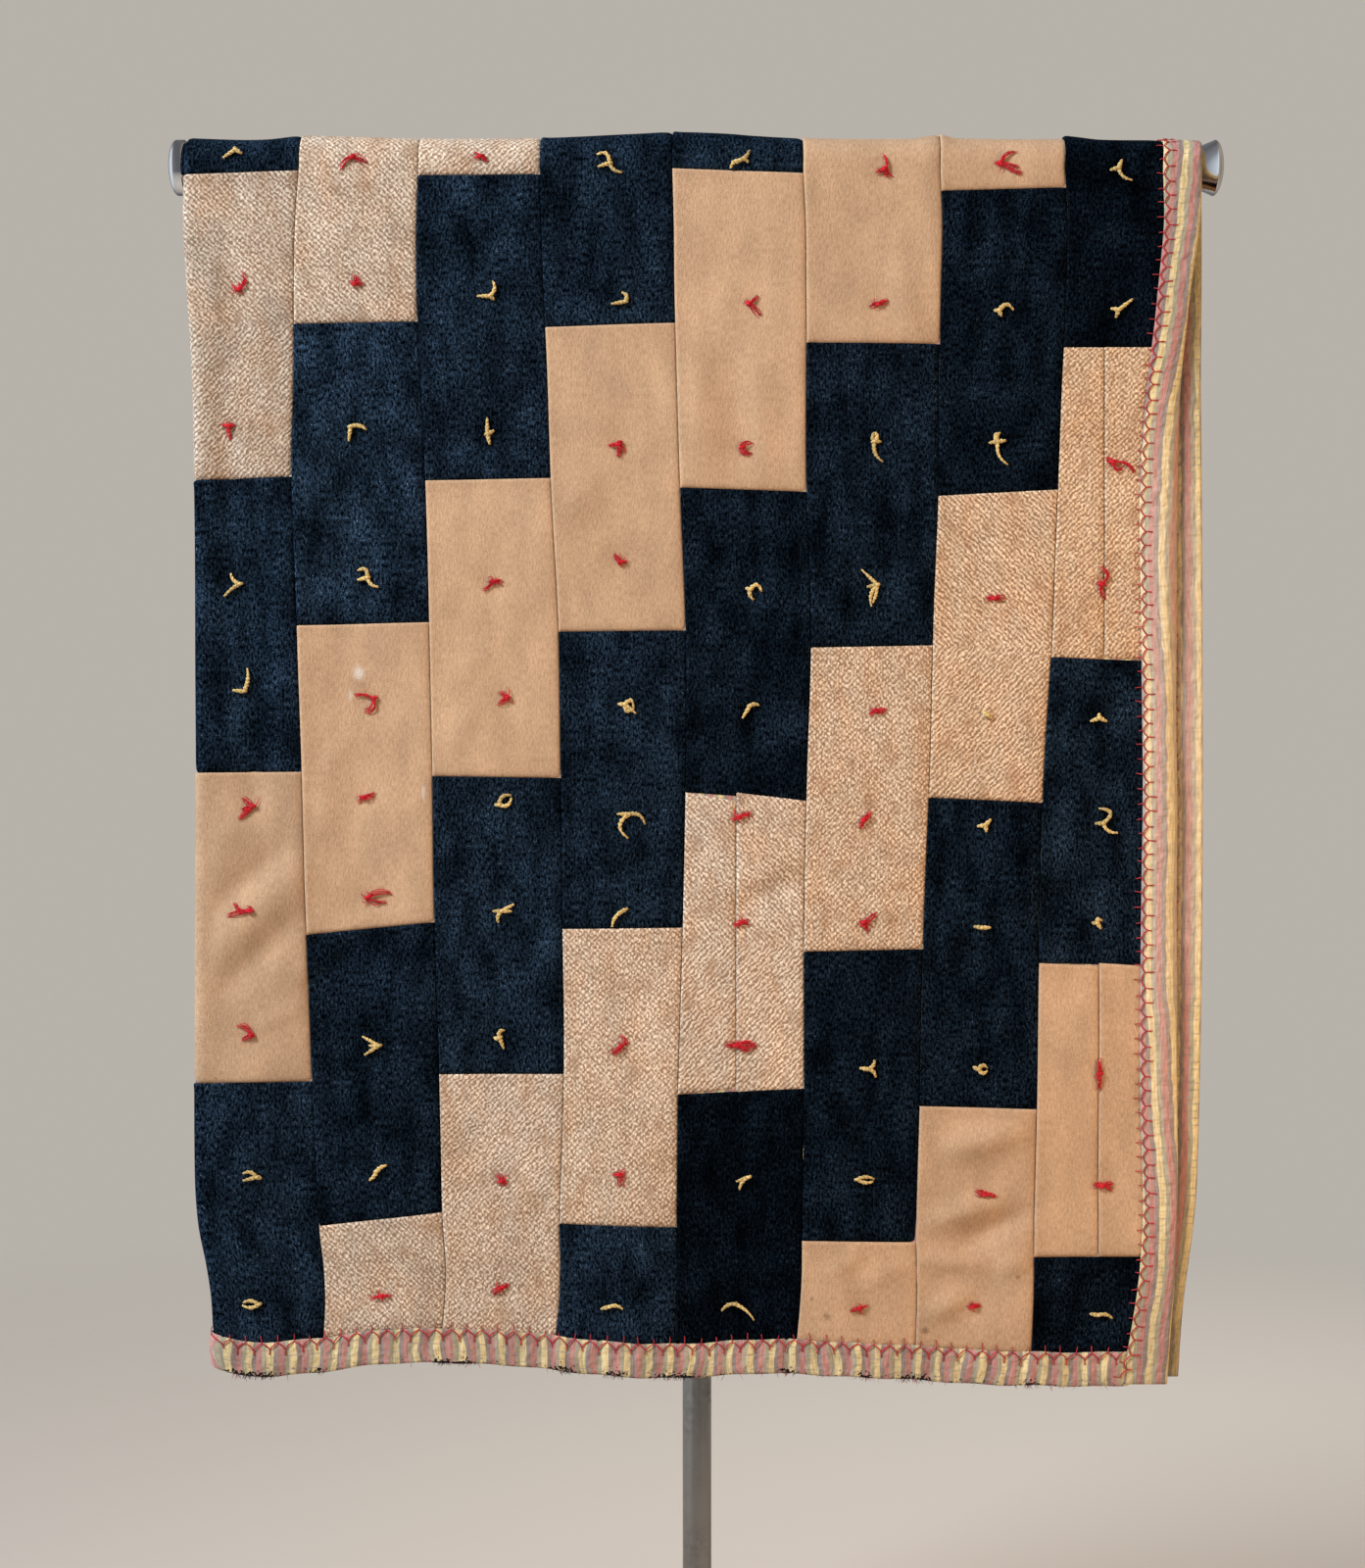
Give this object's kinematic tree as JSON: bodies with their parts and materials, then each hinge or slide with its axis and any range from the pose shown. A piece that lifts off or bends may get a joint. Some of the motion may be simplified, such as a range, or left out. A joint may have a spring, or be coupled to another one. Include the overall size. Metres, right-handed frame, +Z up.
{
  "type": "tied patchwork quilt on a t-bar stand",
  "caption": "Tied patchwork quilt with striped binding, folded in half lengthwise and draped over the bar of a round-based chrome T-stand for display.",
  "frame": {"origin": "on the floor under the middle of the base, at the bottom centre of the whole part", "axes": "+Z up along the post, +X along the bar towards the quilt's bound edges, the shown side of the quilt faces -Y"},
  "size_m": [0.928, 0.41, 1.5323],
  "materials": {
    "navy_wool": "fulled wool with a soft heathered nap",
    "peach_flannel": "brushed wool flannel",
    "oatmeal_tweed": "coarse flecked tweed",
    "striped_cotton": "plain woven cotton with narrow stripes",
    "red_yarn": "soft wool yarn and thread",
    "gold_yarn": "smooth cord yarn",
    "stand_chrome": "polished chrome plate"
  },
  "bodies": {
    "root": {"quilt": "navy_wool", "binding_outer_side": "striped_cotton", "binding_inner_side": "striped_cotton", "binding_front_hem": "striped_cotton", "binding_back_hem": "striped_cotton", "bar": "stand_chrome", "cap_left": "stand_chrome", "cap_right": "stand_chrome", "post": "stand_chrome", "collar": "stand_chrome", "base": "stand_chrome"}
  },
  "joints": []
}
